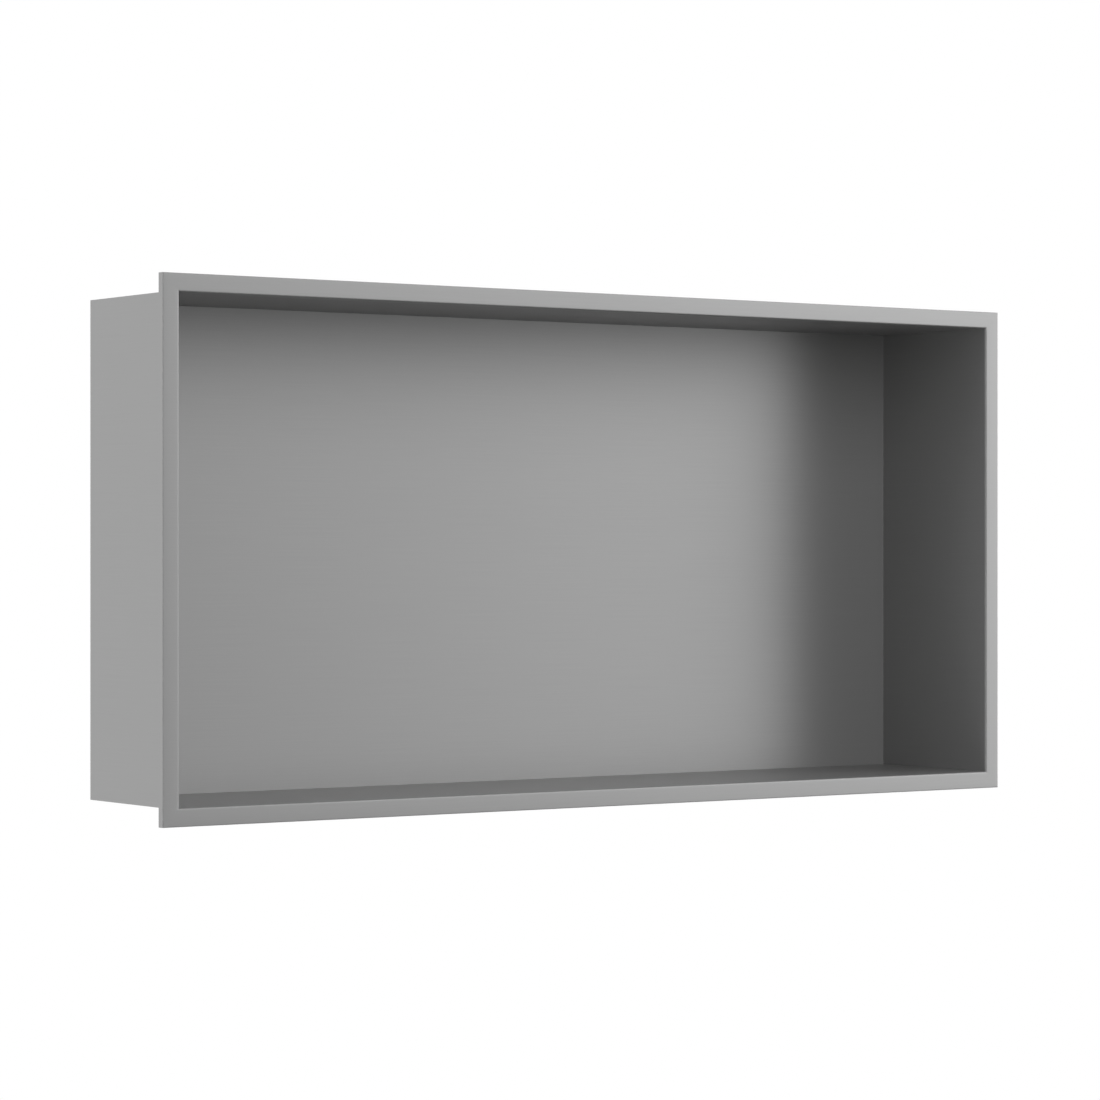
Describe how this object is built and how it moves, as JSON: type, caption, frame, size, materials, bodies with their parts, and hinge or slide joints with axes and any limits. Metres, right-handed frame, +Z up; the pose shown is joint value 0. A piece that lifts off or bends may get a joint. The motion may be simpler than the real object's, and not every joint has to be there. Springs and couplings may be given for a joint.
{
  "type": "shower niche insert",
  "caption": "Recessed shower niche insert: an open-fronted box folded from brushed stainless sheet, with a narrow mitred face flange and a return lip that seats on the finished wall.",
  "frame": {"origin": "middle of the plane where the flange's lip seats on the finished wall", "axes": "+X to the right along the niche, +Y into the wall, +Z up; the niche opens towards -Y"},
  "size_m": [0.6096, 0.1026, 0.3048],
  "materials": {
    "brushed_stainless": "satin brushed stainless steel, with one grain along the whole width"
  },
  "bodies": {
    "root": {"niche_insert": "brushed_stainless"}
  },
  "joints": []
}
